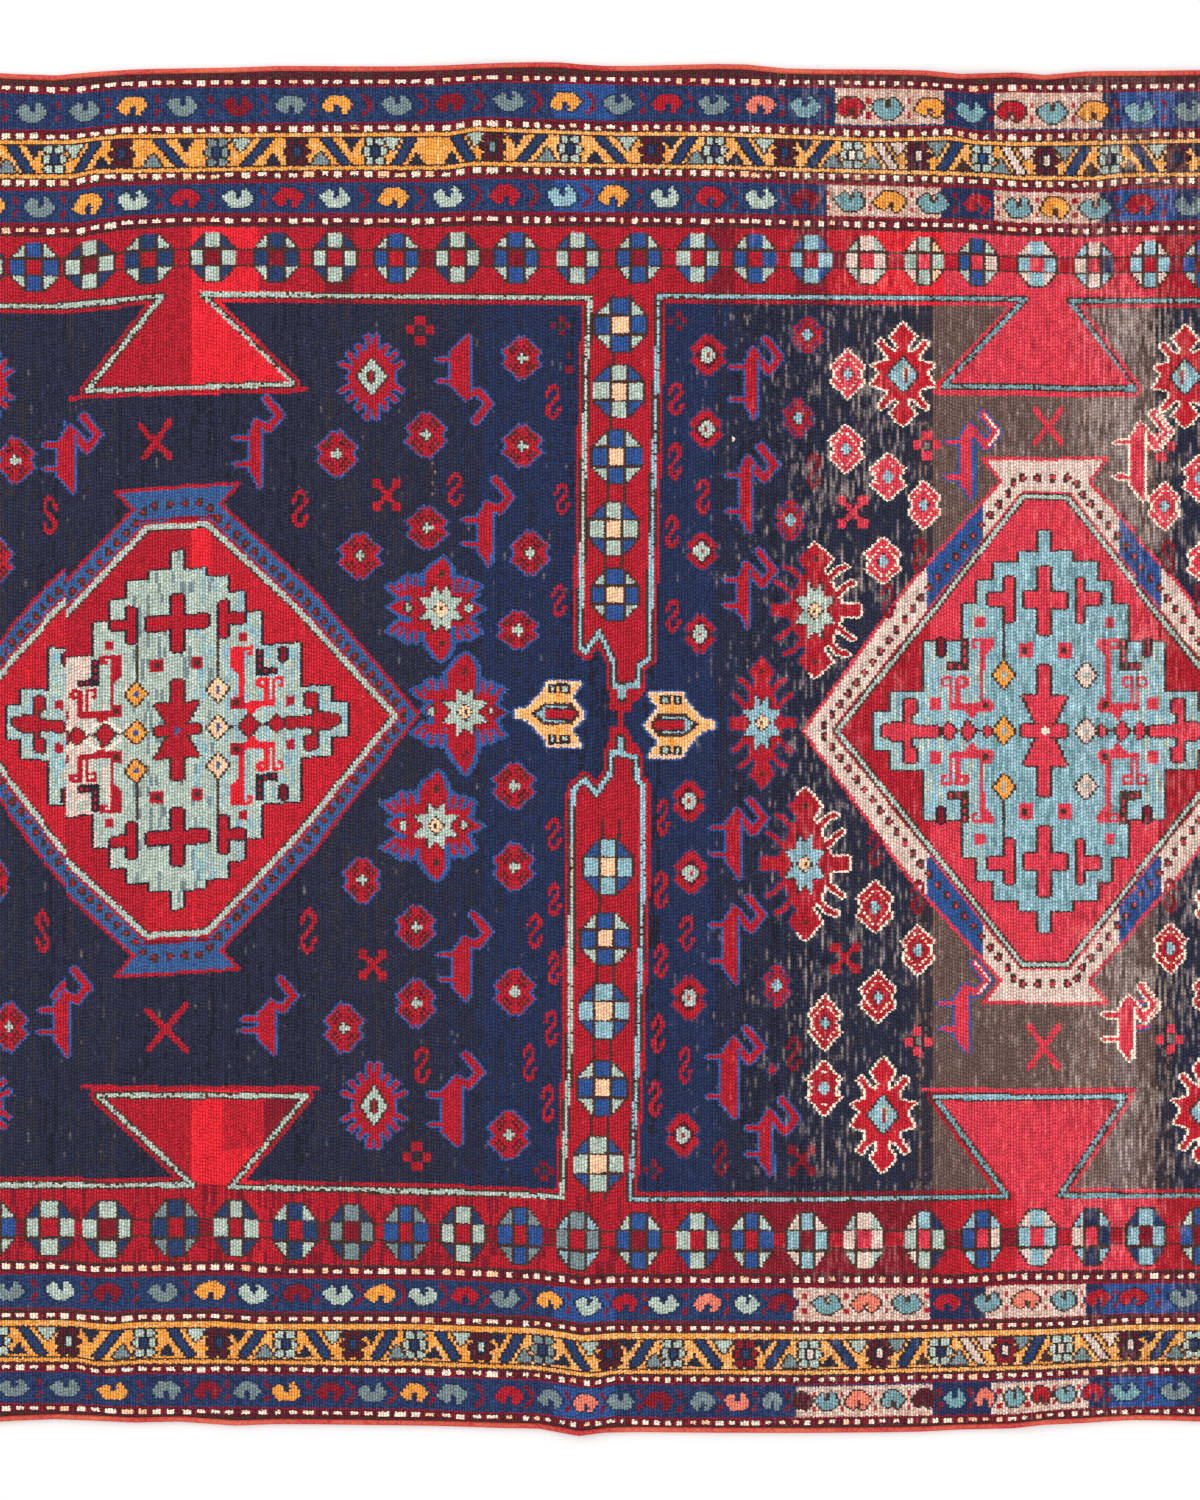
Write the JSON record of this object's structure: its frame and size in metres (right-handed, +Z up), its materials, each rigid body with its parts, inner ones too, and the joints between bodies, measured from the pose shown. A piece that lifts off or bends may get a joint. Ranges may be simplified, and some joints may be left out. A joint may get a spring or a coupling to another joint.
{
  "type": "kazak rug",
  "caption": "Hand-knotted wool kazak rug lying flat, with two stepped compartments, wheel and rosette borders, flat-woven ends and wool-bound sides.",
  "frame": {"origin": "middle of the rug's footprint on the floor", "axes": "+X along the rug's length, +Y across its width, +Z up out of the pile"},
  "size_m": [2.14, 1.3753, 0.0104],
  "materials": {
    "pile_wool": "short hand-knotted wool pile in red, blue, navy, gold, cream and brown",
    "binding_wool": "wool yarn wound closely over the edge cords"
  },
  "bodies": {
    "root": {"rug_body": "pile_wool", "binding_far": "binding_wool", "binding_near": "binding_wool"}
  },
  "joints": []
}
